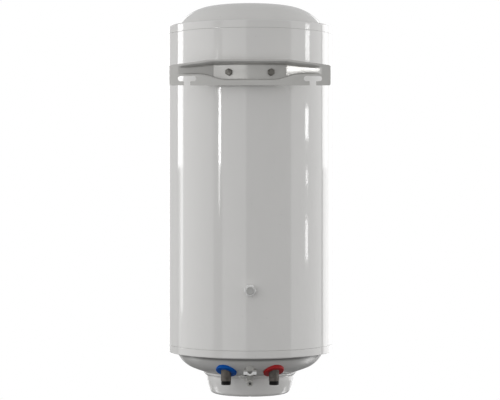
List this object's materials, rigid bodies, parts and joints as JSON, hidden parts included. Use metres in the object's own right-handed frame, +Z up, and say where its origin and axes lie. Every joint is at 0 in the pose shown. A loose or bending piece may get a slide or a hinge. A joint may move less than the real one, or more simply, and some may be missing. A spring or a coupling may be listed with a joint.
{
  "type": "tank water heater",
  "caption": "Slim wall-hung electric storage water heater: white cylindrical casing, domed top, slotted steel wall bracket, wall spacer, colour-ringed water pipes and a round service cover",
  "frame": {"origin": "on the wall plane, centre line of the heater, at mid-height of the wall bracket's lower band", "axes": "+Z up, -Y towards the wall, +Y out into the room, +X to the right when the heater's wall side is looked at"},
  "size_m": [0.353, 0.373, 0.8363],
  "materials": {
    "casing_enamel": "glossy enamel",
    "cover_plastic": "satin",
    "bracket_steel": "dull zinc-plated sheet",
    "dark_steel": "dark plated",
    "zinc": "bright zinc",
    "stainless": "brushed",
    "foam": "rigid foam",
    "white_plastic": "satin",
    "light_plastic": "satin",
    "black_plastic": "matt",
    "grey_rubber": "matt",
    "black_rubber": "matt",
    "blue_plastic": "satin",
    "red_plastic": "satin",
    "amber_lens": "clear tinted",
    "copper": "copper sheath",
    "brass": "turned",
    "magnesium": "dull cast",
    "wire_brown": "smooth",
    "wire_blue": "smooth",
    "wire_green": "smooth"
  },
  "bodies": {
    "heater": {"casing_shell": "casing_enamel", "top_cap": "casing_enamel", "bottom_cap": "casing_enamel", "service_cover": "cover_plastic", "cover_screw_1": "zinc", "cover_screw_2": "zinc", "cover_screw_3": "zinc", "indicator_lamp": "amber_lens", "inner_tank": "stainless", "insulation_foam": "foam", "mounting_boss_left": "stainless", "mounting_boss_right": "stainless", "spacer_boss": "stainless", "wall_bracket": "bracket_steel", "bracket_bolt_left": "dark_steel", "bracket_bolt_right": "dark_steel", "cold_inlet_pipe": "dark_steel", "hot_outlet_pipe": "dark_steel", "cold_inlet_liner": "black_plastic", "hot_outlet_liner": "black_plastic", "cold_ring": "blue_plastic", "hot_ring": "red_plastic", "hot_outlet_tube": "stainless", "cold_inlet_diffuser": "white_plastic", "cable_entry_boss": "light_plastic", "cable_clamp": "light_plastic", "clamp_screw_1": "dark_steel", "clamp_screw_2": "dark_steel", "cable_sleeve": "grey_rubber", "cable_strap": "light_plastic", "flange_gasket": "black_rubber", "flange_plate": "stainless", "flange_nut_1": "zinc", "flange_nut_2": "zinc", "flange_nut_3": "zinc", "flange_nut_4": "zinc", "flange_nut_5": "zinc", "heating_element": "copper", "anode_rod": "magnesium", "anode_nut": "zinc", "thermostat_pocket": "stainless", "thermostat_body": "black_plastic", "thermal_cutout": "black_plastic", "terminal_block": "white_plastic", "earth_stud": "zinc", "earth_nut": "zinc", "lead_supply": "wire_brown", "lead_cutout": "wire_brown", "lead_element": "wire_brown", "lead_neutral": "wire_blue", "lead_earth": "wire_green"},
    "spacer": {"spacer_screw": "white_plastic", "spacer_pad": "grey_rubber"},
    "knob": {"thermostat_knob": "black_plastic", "thermostat_spindle": "brass"},
    "reset": {"reset_button": "red_plastic"}
  },
  "joints": [
    {"name": "spacer_adjust", "type": "slide", "parent": "heater", "child": "spacer", "axis": [0, -1, 0], "range_m": [-0.004, 0.007]},
    {"name": "thermostat_turn", "type": "hinge", "parent": "heater", "child": "knob", "pos_m": [0, 0.2185, -0.65], "axis": [0, 0, -1], "range_deg": [0, 270]},
    {"name": "reset_press", "type": "slide", "parent": "heater", "child": "reset", "axis": [0, 0, 1], "range_m": [0, 0.0015], "stiffness_N_per_m": 800}
  ]
}
